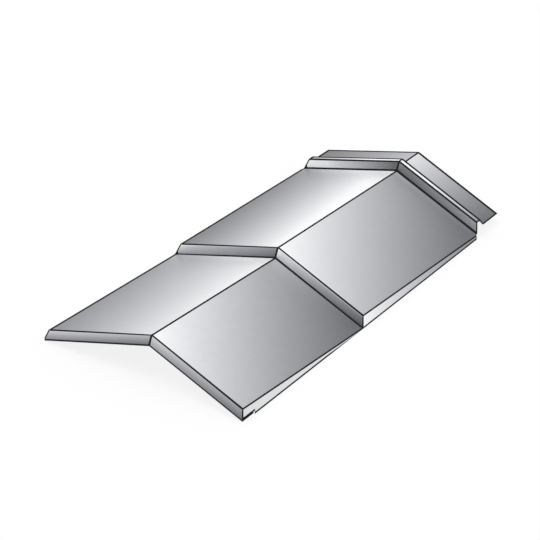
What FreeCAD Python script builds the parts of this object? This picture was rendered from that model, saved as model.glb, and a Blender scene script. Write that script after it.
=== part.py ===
import FreeCAD, Part
import math
import os
import Sketcher

# Two-course roof ridge cap, pressed from one steel sheet, in millimetres.
# X runs across the roof, Y runs along the ridge from the front nose to the
# nailing flange, Z is up. The side flanges stand on z = 0, the ridge is x = 0.
V = FreeCAD.Vector

# Sheet and bends
thick = 0.5
bend = 1.0
side_bend = 0.8

# Roof slope that is covered: ridge line to the foot of a side flange, fall in
# degrees, and the length of each course that shows
half_width = 120.0
pitch = 19.0
course = 305.0

# Noses, side flanges and return lip: heights are square to the slope, drafts are
# degrees off square and off upright, clearances are to the next cap and the flange
nose_height = 12.5
nose_draft = 4.0
side_draft = 14.0
lip_depth = 28.0
lip_clear = 1.0
lock_gap = 7.0

# Head lock: panel height where it starts, riser, flat band, sloping fall, flange
head_rise = 4.0
lock_rise = 12.0
band = 11.0
lock_drop = 7.0
lock_run = 8.0
nail_flange = 46.0

doc = FreeCAD.newDocument("ridge_cap")
sheet = doc.addObject("Spreadsheet::Sheet", "sizes")
next_row = 1


def size(alias, value, what=""):
    """Write one named cell: a plain number or a formula."""
    global next_row
    cell = "B%d" % next_row
    sheet.set("A%d" % next_row, alias)
    sheet.set(cell, str(value))
    sheet.setAlias(cell, alias)
    sheet.set("C%d" % next_row, what)
    next_row = next_row + 1
    return alias


def read(alias):
    return float(getattr(sheet, alias))


size("thick", thick, "steel sheet, 26 gauge")
size("bend", bend, "inner radius of every fold")
size("side_bend", side_bend, "inner radius where a slope turns down into its side flange")
size("half_width", half_width, "ridge line to the foot of a side flange")
size("pitch", pitch, "fall of each slope in degrees")
size("course", course, "length of one course that shows")
size("nose_height", nose_height, "height of each nose, square to the slope")
size("nose_draft", nose_draft, "lean of a nose from square, degrees")
size("side_draft", side_draft, "splay of the side flange from upright, degrees")
size("lip_depth", lip_depth, "return lip folded back under the front nose")
size("lip_clear", lip_clear, "gap from the lip's edge to the side flange's end")
size("lock_gap", lock_gap, "clearance from the next cap's return lip to the riser")
size("head_rise", head_rise, "height of the panel over its base at the head")
size("lock_rise", lock_rise, "riser")
size("band", band, "flat on top of the riser")
size("lock_drop", lock_drop, "fall from the band to the nailing flange")
size("lock_run", lock_run, "how far that fall leans back")
size("nail_flange", nail_flange, "nailing flange")

# Sizes that follow from the ones above
size("head_lap", "=lip_depth + lock_gap")
size("nose_lean", "=nose_height * tan(nose_draft)")
size("lock_lean", "=lock_rise * tan(nose_draft)")
size("head_at", "=2 * course + head_lap")
size("band_at", "=head_at + lock_lean")
size("fall_at", "=band_at + band")
size("flange_at", "=fall_at + lock_run")
size("tail_at", "=flange_at + nail_flange")
size("half_length", "=tail_at / 2")
size("ridge_base", "=half_width * tan(pitch)")
size("band_level", "=head_rise + lock_rise")
size("flange_level", "=band_level - lock_drop")
size("outer_fold", "=bend + thick")
size("lip_top", "=2 * outer_fold")
size("fold_root", "=3 * outer_fold")
size("panel_end", "=head_at - fold_root")
size("panel_fall", "=(nose_height - head_rise) / (course + head_lap - nose_lean)")
size("ridge_line", 0)

# How far the forms reach below the slope, past each other and past the cap
size("depth", "=1.5 * half_width * sin(pitch)")
size("spare", "=4 * fold_root")
size("reach", "=half_width / cos(pitch) + depth")
size("sky", "=2 * depth")
size("far_left", "=-3 * reach")
size("far_right", "=3 * reach")
doc.recompute()


def point(name, along, up):
    """Two cells for one corner: its distance along the ridge and its height off the slope."""
    return (size(name + "_along", along), size(name + "_up", up))


def leg_angle(name, first, second):
    """Cell with the direction of the line from one corner to the next."""
    formula = "=atan2(%s - %s; %s - %s)" % (second[1], first[1], second[0], first[0])
    return size(name, formula)


def inside_line(name, corners):
    """Corners of the sheet's other face, one thickness to the right of a line of corners."""
    angles = []
    for number in range(len(corners) - 1):
        leg = name + "_leg%da" % number
        angles.append(leg_angle(leg, corners[number], corners[number + 1]))
    angles = [angles[0]] + angles + [angles[-1]]
    moved = []
    for number, corner in enumerate(corners):
        before = angles[number]
        after = angles[number + 1]
        spread = "(1 + cos(%s - %s))" % (after, before)
        along = "=%s + thick * (sin(%s) + sin(%s)) / %s" % (corner[0], before, after, spread)
        up = "=%s - thick * (cos(%s) + cos(%s)) / %s" % (corner[1], before, after, spread)
        moved.append(point(name + "_in%da" % number, along, up))
    return moved


def plane_of(body, role):
    for feature in body.Origin.OriginFeatures:
        if feature.Role == role:
            return feature


def polygon(sketch, corners):
    """Closed outline whose every corner is tied to two cells."""
    places = [V(read(along), read(up), 0) for along, up in corners]
    count = len(places)
    for number in range(count):
        line = Part.LineSegment(places[number], places[(number + 1) % count])
        sketch.addGeometry(line, False)
    first = sketch.GeometryCount - count
    for number in range(count):
        following = first + (number + 1) % count
        sketch.addConstraint(Sketcher.Constraint("Coincident", first + number, 2, following, 1))
    for number, corner in enumerate(corners):
        for kind, alias in (("DistanceX", corner[0]), ("DistanceY", corner[1])):
            tie = Sketcher.Constraint(kind, -1, 1, first + number, 1, read(alias))
            index = sketch.addConstraint(tie)
            sketch.setExpression("Constraints[%d]" % index, "sizes." + alias)


def slope_sketch(body, name, corners):
    """Outline in the plane square to the fall of the right-hand slope."""
    sketch = body.newObject("Sketcher::SketchObject", name)
    sketch.AttachmentSupport = [(plane_of(body, "YZ_Plane"), "")]
    sketch.MapMode = "FlatFace"
    turn = FreeCAD.Rotation(V(1, 0, 0), read("pitch"))
    sketch.AttachmentOffset = FreeCAD.Placement(V(0, 0, 0), turn)
    sketch.setExpression("AttachmentOffset.Rotation.Angle", "sizes.pitch")
    sketch.setExpression("AttachmentOffset.Base.x", "-sizes.half_length")
    sketch.setExpression("AttachmentOffset.Base.y", "sizes.ridge_base")
    polygon(sketch, corners)
    return sketch


def run_down_slope(body, kind, name, sketch):
    """Pad or pocket that runs the whole slope, both ways from its sketch."""
    feature = body.newObject("PartDesign::" + kind, name)
    feature.Profile = sketch
    feature.SideType = "Symmetric"
    feature.setExpression("Length", "2 * sizes.reach")
    doc.recompute()
    return feature


def on_slope(along, up):
    """Test for edges that run down the slope through one corner of an outline."""
    fall = math.radians(read("pitch"))
    base = V(0, read(along) - read("half_length"), read("ridge_base"))
    base = base + V(math.sin(fall), 0, math.cos(fall)) * read(up)
    down = V(math.cos(fall), 0, -math.sin(fall))

    def test(place):
        return place.distanceToLine(base, down) < 0.001
    return test


def edges_where(feature, test):
    """Names of the edges whose ends and middle all pass the test."""
    names = []
    for number, edge in enumerate(feature.Shape.Edges, 1):
        middle = edge.valueAt((edge.FirstParameter + edge.LastParameter) / 2)
        places = [vertex.Point for vertex in edge.Vertexes] + [middle]
        if all(test(place) for place in places):
            names.append("Edge%d" % number)
    return names


def fold(body, name, base, corners, radius):
    """Round the edges that run down the slope through the given corners."""
    names = []
    for corner in corners:
        names = names + edges_where(base, on_slope(corner[0], corner[1]))
    feature = body.newObject("PartDesign::Fillet", name)
    feature.Base = (base, names)
    feature.setExpression("Radius", radius)
    doc.recompute()
    return feature


def trim(body, name, inset, floor):
    """Keep what lies between the ridge plane, the floor and the side plane moved in by the inset."""
    wall = "=half_width - (%s) / cos(side_draft) - (%s) * tan(side_draft)"
    foot = size(name + "_foot", wall % (inset, floor))
    top = size(name + "_top", wall % (inset, "sky"))
    ground = size(name + "_ground", "=" + floor)
    doc.recompute()
    sketch = body.newObject("Sketcher::SketchObject", name + "_outline")
    sketch.AttachmentSupport = [(plane_of(body, "XZ_Plane"), "")]
    sketch.MapMode = "FlatFace"
    low_pair = [("far_left", "far_left"), ("far_right", "far_left")]
    high_pair = [("far_right", "far_right"), ("far_left", "far_right")]
    polygon(sketch, low_pair + high_pair)
    polygon(sketch, [("ridge_line", ground), (foot, ground), (top, "sky"), ("ridge_line", "sky")])
    feature = body.newObject("PartDesign::Pocket", name)
    feature.Profile = sketch
    feature.SideType = "Symmetric"
    feature.setExpression("Length", "4 * sizes.tail_at")
    doc.recompute()
    return feature


def round_side(body, name, base, inset, radius):
    """Round the edge where the slope meets the side plane, over panels and noses alike."""
    draft = math.radians(read("side_draft"))
    start = read("half_width") - inset / math.cos(draft)
    ends = (base.Shape.BoundBox.ZMin, base.Shape.BoundBox.YMax)

    def test(place):
        if place.z < ends[0] + 1e-6 or place.y > ends[1] + 1e-6:
            return False
        return abs(place.x - start + place.z * math.tan(draft)) < 0.001

    names = []
    for name_of_edge in edges_where(base, test):
        edge = base.Shape.getElement(name_of_edge)
        if not all(vertex.Y > ends[1] - 0.001 for vertex in edge.Vertexes):
            names.append(name_of_edge)
    feature = body.newObject("PartDesign::Fillet", name)
    feature.Base = (base, names)
    feature.setExpression("Radius", radius)
    doc.recompute()
    return feature


# Corners of the outer face: front nose, first course, second nose, second course
front_foot = point("front_foot", "=-depth * tan(nose_draft)", "=-depth")
front_top = point("front_top", "=nose_lean", "=nose_height")
step_foot = point("step_foot", "=course", "=thick")
step_top = point("step_top", "=course + nose_lean", "=nose_height")
panel_stop = point("panel_stop", "=panel_end", "=head_rise + fold_root * panel_fall")
doc.recompute()
outer_line = [front_foot, front_top, step_foot, step_top, panel_stop]
inner_line = inside_line("panel", outer_line)
doc.recompute()

# Inner form: the space under half the cap, which is taken out of the outer form
inner_form = doc.addObject("PartDesign::Body", "inner_form")
past_end = point("past_end", "=panel_stop_along + spare", "=panel_in4a_up - spare * panel_fall")
below_end = point("below_end", "=panel_stop_along + spare", "=-depth")
below_front = point("below_front", "=front_foot_along + thick / cos(nose_draft)", "=-depth")
doc.recompute()
inner_corners = [below_front] + inner_line[1:4] + [past_end, below_end]
inner_outline = slope_sketch(inner_form, "inner_outline", inner_corners)
inner_pad = run_down_slope(inner_form, "Pad", "inner_pad", inner_outline)
inner_crest = fold(inner_form, "inner_crest", inner_pad, [inner_line[1], inner_line[3]], "sizes.bend")
inner_valley = fold(inner_form, "inner_valley", inner_crest, [inner_line[2]], "sizes.outer_fold")
inner_trim = trim(inner_form, "inner_trim", "thick", "-depth")
inner_side = round_side(inner_form, "inner_side", inner_trim, read("thick"), "sizes.side_bend")
inner_form.Tip = inner_side

# Folded strips: the front return lip and the head lock, at the sheet's own thickness
strips = doc.addObject("PartDesign::Body", "strips")
lip_end = point("lip_end", "=lip_depth", 0)
lip_fold = point("lip_fold", 0, 0)
lip_root = point("lip_root", "=lip_top * tan(nose_draft)", "=lip_top")
lock_root = point("lock_root", "=panel_stop_along", "=panel_stop_up")
lock_foot = point("lock_foot", "=head_at", "=head_rise")
lock_crest = point("lock_crest", "=band_at", "=band_level")
fall_top = point("fall_top", "=fall_at", "=band_level")
fall_foot = point("fall_foot", "=flange_at", "=flange_level")
tail = point("tail", "=tail_at", "=flange_level")
doc.recompute()
lip_line = [lip_end, lip_fold, lip_root]
lip_inner = inside_line("lip", lip_line)
lock_line = [lock_root, lock_foot, lock_crest, fall_top, fall_foot, tail]
lock_inner = inside_line("lock", lock_line)
lip_inner[2] = point("lip_root_in", "=lip_root_along + thick / cos(nose_draft)", "=lip_top")
lock_inner[0] = point("lock_root_in", "=panel_stop_along", "=panel_stop_up - thick / cos(lock_leg0a)")
doc.recompute()
lip_outline = slope_sketch(strips, "lip_outline", lip_line + lip_inner[::-1])
lip_pad = run_down_slope(strips, "Pad", "lip_pad", lip_outline)
lip_out = fold(strips, "lip_fold_out", lip_pad, [lip_fold], "sizes.outer_fold")
lip_in = fold(strips, "lip_fold_in", lip_out, [lip_inner[1]], "sizes.bend")
lip_trim = trim(strips, "lip_trim", "thick + side_bend", "-depth")
strips.Tip = lip_trim

lock = doc.addObject("PartDesign::Body", "lock")
lock_outline = slope_sketch(lock, "lock_outline", lock_line + lock_inner[::-1])
lock_pad = run_down_slope(lock, "Pad", "lock_pad", lock_outline)
wide_corners = [lock_inner[1], lock_line[2], lock_line[3], lock_inner[4]]
tight_corners = [lock_line[1], lock_inner[2], lock_inner[3], lock_line[4]]
lock_wide = fold(lock, "lock_wide", lock_pad, wide_corners, "sizes.outer_fold")
lock_tight = fold(lock, "lock_tight", lock_wide, tight_corners, "sizes.bend")
lock_trim = trim(lock, "lock_trim", "thick + side_bend", "-depth")
lock.Tip = lock_trim

# The cap: outer form, hollowed, notched for the lip, joined to its strips and mirrored
cap = doc.addObject("PartDesign::Body", "ridge_cap")
below_stop = point("below_stop", "=panel_stop_along", "=-depth")
doc.recompute()
outer_corners = outer_line + [below_stop]
outer_outline = slope_sketch(cap, "outer_outline", outer_corners)
outer_pad = run_down_slope(cap, "Pad", "outer_pad", outer_outline)
outer_crest = fold(cap, "outer_crest", outer_pad, [front_top, step_top], "sizes.outer_fold")
outer_valley = fold(cap, "outer_valley", outer_crest, [step_foot], "sizes.bend")
outer_trim = trim(cap, "outer_trim", "0", "0")
outer_side = round_side(cap, "outer_side", outer_trim, 0.0, "sizes.side_bend + sizes.thick")
hollow = cap.newObject("PartDesign::Boolean", "hollow")
hollow.Type = "Cut"
hollow.setObjects([inner_form])
doc.recompute()

notch_low = point("notch_low", "=-spare", "=-depth")
notch_high = point("notch_high", "=-spare", "=lip_top")
notch_back = point("notch_back", "=lip_depth + lip_clear", "=lip_top")
notch_foot = point("notch_foot", "=lip_depth + lip_clear", "=-depth")
doc.recompute()
notch_corners = [notch_low, notch_foot, notch_back, notch_high]
notch = run_down_slope(cap, "Pocket", "notch", slope_sketch(cap, "notch_outline", notch_corners))

join = cap.newObject("PartDesign::Boolean", "join")
join.Type = "Fuse"
join.setObjects([strips, lock])
doc.recompute()
both = cap.newObject("PartDesign::Mirrored", "both_slopes")
both.MirrorPlane = (plane_of(cap, "YZ_Plane"), [""])
both.TransformMode = "Whole shape"
cap.Tip = both
doc.recompute()
cap.Label = "ridge_cap"
cap.Placement = FreeCAD.Placement(V(0, 0, 0), FreeCAD.Rotation())
doc.recompute()

# Nothing is written unless every object and the cap's own shape are sound
for item in doc.Objects:
    if "Invalid" in item.State or "Error" in item.State:
        raise SystemExit("object failed: " + item.Name)
shape = cap.Shape
if shape.isNull() or not shape.isValid():
    raise SystemExit("the cap has no valid shape")
if len(shape.Solids) != 1:
    raise SystemExit("the cap is not one solid: %d" % len(shape.Solids))
os.makedirs("parts", exist_ok=True)
shape.exportStep("parts/ridge_cap.step")
box = shape.BoundBox
print("size %.1f x %.1f x %.1f mm" % (box.XLength, box.YLength, box.ZLength))
print("faces %d, volume %.0f mm3" % (len(shape.Faces), shape.Volume))
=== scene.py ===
import math
import bpy
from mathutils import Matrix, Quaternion, Vector, noise


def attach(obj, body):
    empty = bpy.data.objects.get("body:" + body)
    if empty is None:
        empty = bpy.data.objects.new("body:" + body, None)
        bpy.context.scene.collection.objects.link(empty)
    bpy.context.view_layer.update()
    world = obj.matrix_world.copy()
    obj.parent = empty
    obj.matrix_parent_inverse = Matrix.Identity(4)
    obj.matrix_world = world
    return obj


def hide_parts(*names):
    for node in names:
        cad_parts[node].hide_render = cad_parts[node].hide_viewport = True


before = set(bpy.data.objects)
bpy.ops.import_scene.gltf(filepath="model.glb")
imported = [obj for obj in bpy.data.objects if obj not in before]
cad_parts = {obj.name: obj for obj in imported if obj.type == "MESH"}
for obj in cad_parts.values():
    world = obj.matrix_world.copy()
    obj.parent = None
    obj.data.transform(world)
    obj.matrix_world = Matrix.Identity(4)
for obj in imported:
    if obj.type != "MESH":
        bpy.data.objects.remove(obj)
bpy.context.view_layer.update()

# The camera: a long lens in front of the cap and above it on the right, rolled so that
# the ridge climbs to the right as in the photograph. Its film is square like the picture
film_width = 36.0
lens_length = 214.6
eye = Vector((1.157, -3.111, 1.520))
aim = Vector((-0.0199, -0.0057, 0.0037))
roll = math.radians(12.47)

camera_data = bpy.data.cameras.new("camera")
camera_data.sensor_fit = "HORIZONTAL"
camera_data.sensor_width = film_width
camera_data.lens = lens_length
camera_data.clip_start = 0.1
camera_data.clip_end = 60.0
camera = bpy.data.objects.new("camera", camera_data)
bpy.context.scene.collection.objects.link(camera)
camera.location = eye
camera.rotation_mode = "QUATERNION"
camera.rotation_quaternion = (aim - eye).to_track_quat("-Z", "Y") @ Quaternion((0.0, 0.0, 1.0), roll)
bpy.context.scene.camera = camera

# The cap: one sheet of steel, 0.5 mm thick with its coating of zinc and aluminium. A
# press gives it two stepped courses and closed corners, and a brake turns its return lip
# and its head lock. It is laid out as its outside face in rows, then given its thickness.
thick = 0.5
bend = 1.0
side_bend = 0.8
half_width = 120.0
fall = math.radians(19.0)
splay = math.radians(14.0)
lean = math.tan(math.radians(4.0))
course = 305.0
nose_height = 12.5
lip_depth = 28.0
lip_clear = 1.0
lock_gap = 7.0
head_rise = 4.0
lock_rise = 12.0
band_width = 11.0
lock_run = 8.0
lock_drop = 7.0
nail_flange = 46.0
notch_end = lip_depth + lip_clear
head_at = 2.0 * course + lip_depth + lock_gap
band_at = head_at + lock_rise * lean
band_level = head_rise + lock_rise
fall_at = band_at + band_width
flange_at = fall_at + lock_run
flange_level = band_level - lock_drop
tail_at = flange_at + nail_flange
convex = bend + thick
concave = bend
lip_top = 2.0 * convex
panel_end = head_at - 3.0 * convex
crest_at = nose_height * lean
ridge_height = half_width * math.tan(fall)

# Dark lines: painted shade along each fold and each sheared edge, for the shade and dark reflection that
# gather at a bend.
# Those of the ends are given for the right side and the left, on slopes and on upright faces
ridge_line = 1.2
slope_end_line = {1: 0.6, -1: 3.1}
nose_end_line = {1: 0.1, -1: 0.7}
flange_end_line = {1: 1.8, -1: 3.7}
riser_end_line = {1: 1.9, -1: 1.8}
side_foot_line = 2.1
side_end_line = 1.0


def level_between(first, last, along):
    """The level at a place on the straight run between two stops."""
    share = (along - first[0]) / (last[0] - first[0])
    return first[1] + (last[1] - first[1]) * share


first_slope = ((crest_at, nose_height), (course, thick))
second_slope = ((course + crest_at, nose_height), (head_at, head_rise))
side_stops = panel_end - side_end_line

# Each stop along the sheet: its name, its place and level, the outside radius of the fold
# there, how far the dark line runs on before it and after it, and then the zone that
# follows it and how far apart that zone's rows are
stops = [
    ("lip end", lip_depth, 0.0, 0.0, 0.0, 1.0, "lip", 7.0),
    ("front foot", 0.0, 0.0, convex, 0.0, 0.8, "front nose", 0.8),
    ("notch top", lip_top * lean, lip_top, 0.0, 0.0, 0.0, "front nose", 2.5),
    ("front crest", crest_at, nose_height, convex, 0.0, 0.8, "first course", 13.5),
    ("notch end", notch_end, level_between(*first_slope, notch_end), 0.0, 0.0, 0.0, "first course", 11.0),
    ("step foot", course, thick, concave, 1.3, 0.45, "step nose", 2.5),
    ("step crest", course + crest_at, nose_height, convex, 0.0, 1.1, "second course", 11.0),
    ("side stops", side_stops, level_between(*second_slope, side_stops), 0.0, 0.0, 0.0, "second course", 1.0),
    ("panel end", panel_end, level_between(*second_slope, panel_end), 0.0, 0.0, 0.0, "second course", 2.0),
    ("lock foot", head_at, head_rise, concave, 1.8, 0.6, "riser", 3.0),
    ("band", band_at, band_level, convex, 0.3, 0.0, "band", 3.0),
    ("lock fall", fall_at, band_level, convex, 4.0, 0.0, "lock fall", 3.0),
    ("flange", flange_at, flange_level, concave, 0.0, 0.0, "nailing flange", 6.0),
    ("tail", tail_at, flange_level, 0.0, 4.9, 0.0, "line", 3.0),
]
fold_steps = 6
plain_steps = 2


class Row:
    """A line across the sheet: its place, the way its outside faces, and the zone before it."""

    def __init__(self, along, up, heading, zone):
        self.along = along
        self.up = up
        self.forward = -math.sin(heading)
        self.upward = math.cos(heading)
        self.zone = zone
        self.crown = ridge_height + up / math.cos(fall)
        self.sided = False


headings = []
for here, there in zip(stops, stops[1:]):
    headings.append(math.atan2(there[2] - here[2], there[1] - here[1]))
rows = [Row(stops[0][1], stops[0][2], headings[0], "line")]
reached = {"lip end": 0}
for number in range(1, len(stops)):
    name, along, up, radius, before = stops[number][:5]
    after, zone, gap = stops[number - 1][5:]
    heading = headings[number - 1]
    swing = headings[number] - heading if radius else 0.0
    cut_back = radius * math.tan(abs(swing) / 2.0)
    start_along, start_up = rows[-1].along, rows[-1].up
    end_along = along - math.cos(heading) * cut_back
    end_up = up - math.sin(heading) * cut_back
    length = math.hypot(end_along - start_along, end_up - start_up)
    plain = length - after - before
    steps = max(1, round(plain / gap))
    marks = [(after + plain * step / steps, zone) for step in range(1, steps + 1)]
    if after:
        marks.insert(0, (after, "line"))
    if before:
        marks.append((length, "line"))
    for reach, look in marks:
        place = start_along + (end_along - start_along) * reach / length
        level = start_up + (end_up - start_up) * reach / length
        rows.append(Row(place, level, heading, look))
    if radius:
        inward = 1.0 if swing < 0.0 else -1.0
        centre_along = end_along + math.sin(heading) * radius * inward
        centre_up = end_up - math.cos(heading) * radius * inward
        for step in range(1, fold_steps + 1):
            turned = heading + swing * step / fold_steps
            place = centre_along - math.sin(turned) * radius * inward
            level = centre_up + math.cos(turned) * radius * inward
            starts = inward > 0.0 and step <= plain_steps and not before
            rows.append(Row(place, level, turned, zone if starts else "line"))
    reached[name] = len(rows) - 1
for row in rows[reached["notch top"]:reached["panel end"] + 1]:
    row.sided = True

# Across each row: half the ridge's bend, the slope, the side's bend, and the side flange.
# The rolled slopes are a little wavy. The side flange's lines of spots keep to shares of
# its height where it runs out to nothing
ridge_steps = 2
slope_steps = 14
side_steps = 5
slope_end = ridge_steps + slope_steps + 2
side_top = slope_end + side_steps
off_slope = Vector((math.sin(fall), 0.0, math.cos(fall)))
off_side = Vector((math.cos(splay), 0.0, math.sin(splay)))
side_radius = side_bend + thick
drop = math.tan(fall)
flare = math.tan(splay)
notch_level = lip_top / (math.cos(fall) * (1.0 - flare * drop))
ripple = 0.16
ripple_across = 60.0
ripple_along = 105.0
ripple_apart = 7.3
ripple_start = 2.7
off_floor = 0.05
side_shares = (0.85, 0.7, 0.5, 0.0)
upright = ("front nose", "step nose", "riser")
spots = []
outs = []
faces = []
zones = []
lines = []


def add_spot(hand, place, out):
    across = min(place.x, half_width - place.z * flare)
    spots.append(Vector((across * hand, place.y, max(place.z, 0.0))))
    outs.append(Vector((out.x * hand, out.y, out.z)).normalized())
    return len(spots) - 1


def add_face(hand, corners, zone, side, line):
    faces.append(corners if hand > 0 else corners[::-1])
    zones.append((zone, side))
    lines.append(line)


def side_corner(row, inset):
    """Where a row's outside meets the side's outside, moved in by the inset."""
    wide = half_width - inset / math.cos(splay)
    across = (wide - flare * row.crown) / (1.0 - flare * drop)
    return Vector((across, row.along, row.crown - across * drop))


def waviness(hand, across, along):
    """How far the rolled sheet stands off flat, nothing at its folds."""
    wide = math.sin(math.pi * min(max(across / half_width, 0.0), 1.0))
    long = math.sin(math.pi * min(max((along % course) / course, 0.0), 1.0))
    spot = Vector((across / ripple_across + hand * ripple_apart, along / ripple_along, ripple_start))
    return ripple * math.sqrt(wide * long) * noise.noise(spot)


def lay_row(row, hand, middle):
    """Spots of one row from the ridge to its end on one side."""
    out = off_slope * row.upward + Vector((0.0, row.forward, 0.0))
    row_spots = [middle]
    for step in range(1, ridge_steps + 1):
        turned = fall * step / ridge_steps
        level = row.crown + convex * (math.cos(turned) - 1.0 / math.cos(fall))
        place = Vector((convex * math.sin(turned), row.along, level))
        facing = Vector((math.sin(turned) * row.upward, row.forward, math.cos(turned) * row.upward))
        row_spots.append(add_spot(hand, place, facing))
    across = convex * math.sin(fall)
    start = Vector((across, row.along, row.crown - across * drop))
    if row.sided:
        centre = side_corner(row, 0.0) - (out + off_side) * (side_radius / (1.0 + out.dot(off_side)))
        end = centre + out * side_radius
    else:
        end = side_corner(row, side_radius)
    length = (end - start).length
    first = (ridge_line - across) / math.cos(fall) / length
    if row.sided:
        end_line = nose_end_line if row.zone in upright else slope_end_line
    else:
        end_line = riser_end_line if row.zone in upright else flange_end_line
    last = 1.0 - end_line[hand] / length
    shares = [first + (last - first) * step / slope_steps for step in range(slope_steps + 1)]
    for share in shares + [1.0]:
        place = start.lerp(end, share)
        lift = 0.0
        facing = out.copy()
        if row.zone in ("first course", "second course"):
            lift = waviness(hand, place.x, row.along)
            across_rate = waviness(hand, place.x + 1.0, row.along) - lift
            along_rate = waviness(hand, place.x, row.along + 1.0) - lift
            facing -= Vector((math.cos(fall), 0.0, -math.sin(fall))) * across_rate
            facing -= Vector((0.0, along_rate, 0.0))
        row_spots.append(add_spot(hand, place + out * lift, facing))
    if not row.sided:
        return row_spots
    for step in range(1, side_steps + 1):
        facing = out.slerp(off_side, step / side_steps)
        place = centre + facing * side_radius
        place.z = max(place.z, off_floor)
        row_spots.append(add_spot(hand, place, facing))
    top = centre + off_side * side_radius
    levels = (notch_level + side_foot_line, notch_level, side_foot_line, 0.0)
    for level, most in zip(levels, side_shares):
        level = min(level, max(top.z, off_floor) * most)
        place = Vector((top.x + (top.z - level) * flare, top.y, level))
        row_spots.append(add_spot(hand, place, off_side))
    return row_spots


middles = []
for row in rows:
    level = row.crown + convex * (1.0 - 1.0 / math.cos(fall))
    facing = Vector((0.0, row.forward, row.upward))
    middles.append(add_spot(1, Vector((0.0, row.along, level)), facing))

for hand in (1, -1):
    laid = [lay_row(row, hand, middle) for row, middle in zip(rows, middles)]
    for number in range(1, len(rows)):
        here, there = laid[number - 1], laid[number]
        row = rows[number]
        both_sided = row.sided and rows[number - 1].sided
        nose = row.zone in ("front nose", "step nose")
        side_zone = "first side" if row.along < course + 0.5 else "second side"
        for column in range(side_top if both_sided else slope_end):
            line = row.zone == "line" or column <= ridge_steps or column >= slope_end - 1
            if nose and hand > 0 and column == slope_end - 1:
                line = False
            corners = [here[column], here[column + 1], there[column + 1], there[column]]
            zone = row.zone if column < slope_end else side_zone
            add_face(hand, corners, zone, hand, line)
        if number <= reached["front crest"] or not both_sided:
            continue
        if reached["step foot"] < number <= reached["step crest"]:
            continue
        bottom = side_top + (1 if number <= reached["notch end"] else 3)
        for column in range(side_top, bottom + 1):
            line = column == bottom or number == reached["panel end"]
            corners = [here[column], here[column + 1], there[column + 1], there[column]]
            add_face(hand, corners, side_zone, hand, line)
    for low, high, bottom, zone in (
        ("notch top", "front crest", side_top + 2, "first side"),
        ("step foot", "step crest", side_top + 4, "second side"),
    ):
        behind = laid[reached[high]]
        edge = [laid[number][side_top] for number in range(reached[low], reached[high] + 1)]
        below = [spot for spot in edge if spots[spot].z < spots[behind[bottom - 1]].z]
        block = edge[len(below):] + behind[side_top + 1:bottom]
        add_face(-hand, block, zone, hand, False)
        block = below + [edge[len(below)]] + behind[bottom - 1:bottom + 1]
        if low == "step foot":
            block += laid[reached[low]][:side_top:-1]
        add_face(-hand, block, zone, hand, True)

# Painted sheen and shade: greys that stand in for the sheet's reflections and for how light falls on each
# face, as the eye sees them against a card of greys. Glare is past white, so that a zone that starts or ends
# there stays white for part of its way
glare = 1.2
white = 1.0
pale = 0.9
light = 0.75
middle = 0.6
dull = 0.5
deep = 0.4

# How each zone of the right side (1) and the left (-1) is painted with sheen and shade: its tone where it
# starts on the ridge, its tone at the side, and how much lighter it gets along the ridge or upwards
painted_sheen = {
    ("first course", 1): (white, light, -0.35),
    ("first course", -1): (pale, dull, 0.1),
    ("second course", 1): (white, light, -0.35),
    ("second course", -1): (white, deep, 0.1),
    ("front nose", 1): (middle, deep, 0.25),
    ("front nose", -1): (deep, dull, 0.35),
    ("step nose", 1): (pale, dull, 0.2),
    ("step nose", -1): (deep, light, 0.2),
    ("riser", 1): (dull, light, 0.1),
    ("riser", -1): (deep, glare, 0.0),
    ("band", 1): (glare, middle, 0.0),
    ("band", -1): (glare, middle, 0.0),
    ("nailing flange", 1): (pale, deep, 0.0),
    ("nailing flange", -1): (light, deep, 0.0),
    ("second side", 1): (white, white, -0.5),
    ("first side", 1): (pale, pale, 0.0),
    ("lip", 1): (dull, dull, 0.0),
}
reaches = {
    "first course": (0.0, course),
    "first side": (0.0, course),
    "second course": (course, head_at),
    "second side": (course, head_at),
    "nailing flange": (fall_at, tail_at),
    "front nose": (0.0, nose_height),
    "step nose": (0.0, nose_height),
    "riser": (head_rise, band_level),
}

# Painted light: a course is painted lighter and made less metallic where it runs into the next upright face,
# against the shade and dark reflection that fall there. The riser is made less metallic too, from a share of
# the way to its left end, so that it shows lighter there
painted_light_most = 1.6
painted_light_width = 13.0
riser_light_start = 0.6
painted_light_gain = 0.15


def painted_light_at(zone, spot):
    """How much painted light a spot gets, from 0 to 1."""
    if zone == "riser":
        return max((-spot.x / half_width - riser_light_start) / (1.0 - riser_light_start), 0.0)
    if zone not in ("first course", "second course"):
        return 0.0
    return min(painted_light_most * math.exp((spot.y - reaches[zone][1]) / painted_light_width), 1.0)


def grey_at(zone, side, spot):
    """The painted grey of sheen and shade that a face shows at a spot, from 0 to 1 as the eye sees it."""
    known = painted_sheen.get((zone, side)) or painted_sheen.get((zone, 1)) or painted_sheen[("nailing flange", side)]
    at_ridge, at_side, along_gain = known
    first, last = reaches.get(zone, (fall_at, tail_at))
    level = (spot.z - ridge_height + abs(spot.x) * drop) * math.cos(fall)
    along = (level if zone in upright else spot.y) - first
    grey = at_ridge + (at_side - at_ridge) * min(abs(spot.x) / half_width, 1.0)
    grey += along_gain * min(max(along / (last - first), 0.0), 1.0)
    if zone != "riser":
        grey *= 1.0 + painted_light_gain * painted_light_at(zone, spot)
    return min(max(grey, 0.0), 1.0)


# The screen's curve from light to the grey that the eye sees
toe = 0.055
contrast = 2.4


def light_of(grey):
    """The share of the light that a grey sends back."""
    return ((grey + toe) / (1.0 + toe)) ** contrast


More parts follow.
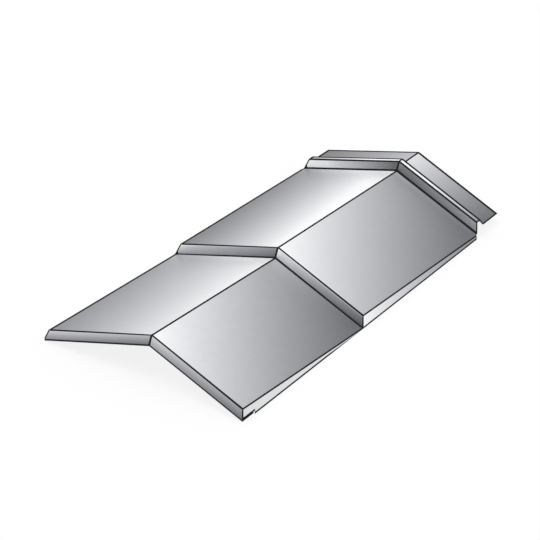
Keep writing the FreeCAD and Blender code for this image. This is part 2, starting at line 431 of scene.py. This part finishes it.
metres = 0.001
shift = Vector((0.0, tail_at / 2.0, 0.0))
outside = bpy.data.meshes.new("outside_face")
outside.from_pydata([(spot - shift) * metres for spot in spots], [], faces)
outside.update()
carried = {
    "outward": ("FLOAT_VECTOR", "POINT"),
    "dark": ("BOOLEAN", "FACE"),
    "tone": ("FLOAT", "CORNER"),
    "chalk": ("FLOAT", "CORNER"),
}
for name, (kind, domain) in carried.items():
    outside.attributes.new(name, kind, domain)
outward, dark, tone, chalk = [outside.attributes[name].data for name in carried]
for number, out in enumerate(outs):
    outward[number].vector = out
for polygon in outside.polygons:
    dark[polygon.index].value = lines[polygon.index]
    zone, side = zones[polygon.index]
    for corner in polygon.loop_indices:
        spot = spots[outside.loops[corner].vertex_index]
        tone[corner].value = light_of(grey_at(zone, side, spot))
        chalk[corner].value = painted_light_at(zone, spot)


class Socket:
    """One socket of a node; arithmetic on it adds Math nodes to its tree."""

    def __init__(self, tree, socket):
        self.tree = tree
        self.socket = socket

    def math(self, operation, first, second):
        return add_node(self.tree, "ShaderNodeMath", {"operation": operation}, {0: first, 1: second})

    def __add__(self, other):
        return self.math("ADD", self, other)

    def __radd__(self, other):
        return self.math("ADD", other, self)

    def __sub__(self, other):
        return self.math("SUBTRACT", self, other)

    def __rsub__(self, other):
        return self.math("SUBTRACT", other, self)

    def __mul__(self, other):
        return self.math("MULTIPLY", self, other)

    def __rmul__(self, other):
        return self.math("MULTIPLY", other, self)

    def beside(self, name):
        """Another output of the same node."""
        return Socket(self.tree, self.socket.node.outputs[name])


def add_node(tree, kind, settings=None, inputs=None, output=0):
    """A node of any kind: its settings first, then the values or links of its sockets."""
    node = tree.nodes.new(kind)
    for name, value in (settings or {}).items():
        setattr(node, name, value)
    for key, value in (inputs or {}).items():
        for joined in value if isinstance(value, list) else [value]:
            if isinstance(joined, Socket):
                tree.links.new(joined.socket, node.inputs[key])
            else:
                node.inputs[key].default_value = joined
    return Socket(tree, node.outputs[output]) if node.outputs else node


coated = bpy.data.materials.new("coated_steel")
coated.use_nodes = True
tree = coated.node_tree
tree.nodes.clear()
where = add_node(tree, "ShaderNodeTexCoord", output="Object")
rolled = add_node(tree, "ShaderNodeMapping", inputs={"Vector": where, "Scale": (1.0, 0.02, 1.0)})
grain = add_node(tree, "ShaderNodeTexNoise", inputs={"Vector": rolled, "Scale": 900.0, "Detail": 3.0})
smudge = add_node(tree, "ShaderNodeTexNoise", inputs={"Vector": where, "Scale": 14.0, "Detail": 4.0})
crystal_look = {"Vector": where, "Scale": 140.0}
crystal = add_node(tree, "ShaderNodeTexVoronoi", inputs=crystal_look, output="Color")
spangle = add_node(tree, "ShaderNodeSeparateColor", inputs={"Color": crystal})
painted = add_node(tree, "ShaderNodeAttribute", {"attribute_name": "tone"}, output="Fac")
shade = painted * (0.945 + 0.05 * grain + 0.04 * smudge + 0.02 * spangle)
cool = {"Red": shade * (0.98 + 0.015 * shade), "Green": shade, "Blue": shade * (1.085 - 0.075 * shade)}
skin = add_node(tree, "ShaderNodeCombineColor", inputs=cool)
roughness = 0.32 + 0.10 * smudge + 0.06 * grain
relief = add_node(tree, "ShaderNodeBump", inputs={"Height": grain, "Strength": 0.06, "Distance": 0.0002})
painted_light_share = add_node(tree, "ShaderNodeAttribute", {"attribute_name": "chalk"}, output="Fac")
# Where painted light is laid the sheet turns less metallic, so that the dark reflections there fade
metal = 0.75 - 0.7 * painted_light_share
surface_look = {"Base Color": skin, "Roughness": roughness, "Metallic": metal, "Normal": relief}
surface = add_node(tree, "ShaderNodeBsdfPrincipled", inputs=surface_look)
add_node(tree, "ShaderNodeOutputMaterial", inputs={"Surface": surface})

# The painted shade of the folds and sheared edges: a near-black, matt grey
fold_shade = bpy.data.materials.new("painted_fold_shade")
fold_shade.use_nodes = True
tree = fold_shade.node_tree
tree.nodes.clear()
where = add_node(tree, "ShaderNodeTexCoord", output="Object")
fleck = add_node(tree, "ShaderNodeTexNoise", inputs={"Vector": where, "Scale": 400.0, "Detail": 2.0})
shade_grey = 0.012 + 0.02 * fleck
skin = add_node(tree, "ShaderNodeCombineColor", inputs={"Red": shade_grey, "Green": shade_grey, "Blue": shade_grey * 1.05})
surface_look = {"Base Color": skin, "Roughness": 0.6 + 0.2 * fleck, "Specular IOR Level": 0.0}
surface = add_node(tree, "ShaderNodeBsdfPrincipled", inputs=surface_look)
add_node(tree, "ShaderNodeOutputMaterial", inputs={"Surface": surface})

# The gauge: Geometry Nodes lay the inside face behind the outside one, and close the sheet
# all round with its sheared edge. The inside keeps part of the painted sheen and is otherwise an even grey,
# and the sheared edge gets the painted shade of the folds
inside_grey = 0.62
inside_evenness = 0.6
gauge = bpy.data.node_groups.new("sheet_gauge", "GeometryNodeTree")
gauge.interface.new_socket("Geometry", in_out="INPUT", socket_type="NodeSocketGeometry")
thickness = gauge.interface.new_socket("Thickness", in_out="INPUT", socket_type="NodeSocketFloat")
gauge.interface.new_socket("Geometry", in_out="OUTPUT", socket_type="NodeSocketGeometry")


def carried_value(name, kind):
    return add_node(gauge, "GeometryNodeInputNamedAttribute", {"data_type": kind}, {"Name": name})


def store(geometry, chosen, name, kind, domain, value):
    """Write a value on the chosen faces or corners."""
    inputs = {"Geometry": geometry, "Selection": chosen, "Name": name, "Value": value}
    return add_node(gauge, "GeometryNodeStoreNamedAttribute", {"data_type": kind, "domain": domain}, inputs)


given = add_node(gauge, "NodeGroupInput", output="Geometry")
raised = {"Mesh": given, "Offset Scale": 0.0, "Individual": False}
doubled = add_node(gauge, "GeometryNodeExtrudeMesh", {"mode": "FACES"}, raised)
inner = doubled.beside("Top")
edge = doubled.beside("Side")
inward = {0: carried_value("outward", "FLOAT_VECTOR"), "Scale": -1.0 * given.beside("Thickness")}
inward = add_node(gauge, "ShaderNodeVectorMath", {"operation": "SCALE"}, inward)
moved = {0: add_node(gauge, "GeometryNodeInputPosition"), 1: inward}
moved = add_node(gauge, "ShaderNodeVectorMath", {"operation": "ADD"}, moved)
above_floor = {0: moved, 1: (-1.0, -1.0, 0.0)}
above_floor = add_node(gauge, "ShaderNodeVectorMath", {"operation": "MAXIMUM"}, above_floor)
placed = {"Geometry": doubled, "Selection": inner, "Position": above_floor}
behind = add_node(gauge, "GeometryNodeSetPosition", inputs=placed)
even = carried_value("tone", "FLOAT") * (1.0 - inside_evenness) + light_of(inside_grey) * inside_evenness
behind = store(behind, inner, "tone", "FLOAT", "CORNER", even)
behind = store(behind, inner, "inner", "BOOLEAN", "FACE", True)
behind = store(behind, edge, "edge", "BOOLEAN", "FACE", True)
behind = add_node(gauge, "GeometryNodeFlipFaces", inputs={"Mesh": behind})
closed = add_node(gauge, "GeometryNodeJoinGeometry", inputs={"Geometry": [given, behind]})
closed = add_node(gauge, "GeometryNodeMergeByDistance", inputs={"Geometry": closed, "Distance": 1e-7})
closed = add_node(gauge, "GeometryNodeRealizeInstances", inputs={"Geometry": closed})
closed = add_node(gauge, "GeometryNodeSetMaterial", inputs={"Geometry": closed, "Material": coated})
darkened = {0: carried_value("dark", "BOOLEAN"), 1: carried_value("edge", "BOOLEAN")}
darkened = add_node(gauge, "FunctionNodeBooleanMath", {"operation": "OR"}, darkened)
lined = {"Geometry": closed, "Selection": darkened, "Material": fold_shade}
lined = add_node(gauge, "GeometryNodeSetMaterial", inputs=lined)
add_node(gauge, "NodeGroupOutput", inputs={"Geometry": lined})

formed_sheet = bpy.data.objects.new("formed_sheet", outside)
bpy.context.scene.collection.objects.link(formed_sheet)
to_gauge = formed_sheet.modifiers.new("gauge", "NODES")
to_gauge.node_group = gauge
to_gauge[thickness.identifier] = thick * metres
depsgraph = bpy.context.evaluated_depsgraph_get()
mesh = bpy.data.meshes.new_from_object(
    formed_sheet.evaluated_get(depsgraph), preserve_all_data_layers=True, depsgraph=depsgraph
)
mesh.name = "formed_sheet"
formed_sheet.modifiers.remove(to_gauge)
formed_sheet.data = mesh

outward, inner, edge = [mesh.attributes[name].data for name in ("outward", "inner", "edge")]
normals = []
for polygon in mesh.polygons:
    polygon.use_smooth = True
    way = -1.0 if inner[polygon.index].value else 1.0
    for corner in polygon.loop_indices:
        out = Vector(outward[mesh.loops[corner].vertex_index].vector) * way
        normals.append(polygon.normal.copy() if edge[polygon.index].value else out)
mesh.normals_split_custom_set(normals)
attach(formed_sheet, "root")
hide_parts("ridge_cap")

# The floor: a plain white studio sweep. The camera and the sheet's gloss see most of it
# as plain white, and the rest of it is lit, so that the cap's soft shadow stays.
floor_reach = 12.0
floor_sink = 0.0001
floor_white = 0.99
floor_plain = 0.84
floor_mesh = bpy.data.meshes.new("floor")
floor_corners = []
for across, along in ((-1.0, -1.0), (1.0, -1.0), (1.0, 1.0), (-1.0, 1.0)):
    floor_corners.append((across * floor_reach, along * floor_reach, -floor_sink))
floor_mesh.from_pydata(floor_corners, [], [(0, 1, 2, 3)])
floor = bpy.data.objects.new("floor", floor_mesh)
bpy.context.scene.collection.objects.link(floor)

paper = bpy.data.materials.new("floor_paper")
paper.use_nodes = True
tree = paper.node_tree
tree.nodes.clear()
seen = add_node(tree, "ShaderNodeLightPath", output="Is Camera Ray")
glossed = add_node(tree, "ShaderNodeLightPath", output="Is Glossy Ray")
through = add_node(tree, "ShaderNodeLightPath", output="Is Transmission Ray")
matt = add_node(tree, "ShaderNodeBsdfDiffuse", inputs={"Color": (floor_white, floor_white, floor_white, 1.0)})
plain = add_node(tree, "ShaderNodeEmission", inputs={"Color": (1.0, 1.0, 1.0, 1.0), "Strength": 1.0})
share = (seen + glossed + through) * floor_plain
look = add_node(tree, "ShaderNodeMixShader", inputs={0: share, 1: matt, 2: plain})
add_node(tree, "ShaderNodeOutputMaterial", inputs={"Surface": look})
floor_mesh.materials.append(paper)

# The light: a white surround that fills all sides evenly, and one wide soft lamp from
# high on the front left, kept out of the sheet's gloss so that no face burns out. Together
# they light a level face at about the plain level.
fill = 0.70
lamp_power = 1.15
lamp_spread = math.radians(40.0)
lamp_from = Vector((-0.55, -0.60, 1.25))
world = bpy.data.worlds.new("surround")
bpy.context.scene.world = world
world.use_nodes = True
tree = world.node_tree
tree.nodes.clear()
seen = add_node(tree, "ShaderNodeLightPath", output="Is Camera Ray")
glossed = add_node(tree, "ShaderNodeLightPath", output="Is Glossy Ray")
through = add_node(tree, "ShaderNodeLightPath", output="Is Transmission Ray")
strength = fill + (seen + glossed + through) * (1.0 - fill)
white = (1.0, 1.0, 1.0, 1.0)
around = add_node(tree, "ShaderNodeBackground", inputs={"Color": white, "Strength": strength})
add_node(tree, "ShaderNodeOutputWorld", inputs={"Surface": around})

lamp_data = bpy.data.lights.new("soft_lamp", "SUN")
lamp_data.energy = lamp_power
lamp_data.angle = lamp_spread
lamp = bpy.data.objects.new("soft_lamp", lamp_data)
bpy.context.scene.collection.objects.link(lamp)
lamp.location = lamp_from
lamp.rotation_mode = "QUATERNION"
lamp.rotation_quaternion = lamp_from.to_track_quat("Z", "Y")
lamp.visible_glossy = False

bpy.context.scene.view_settings.view_transform = "Standard"
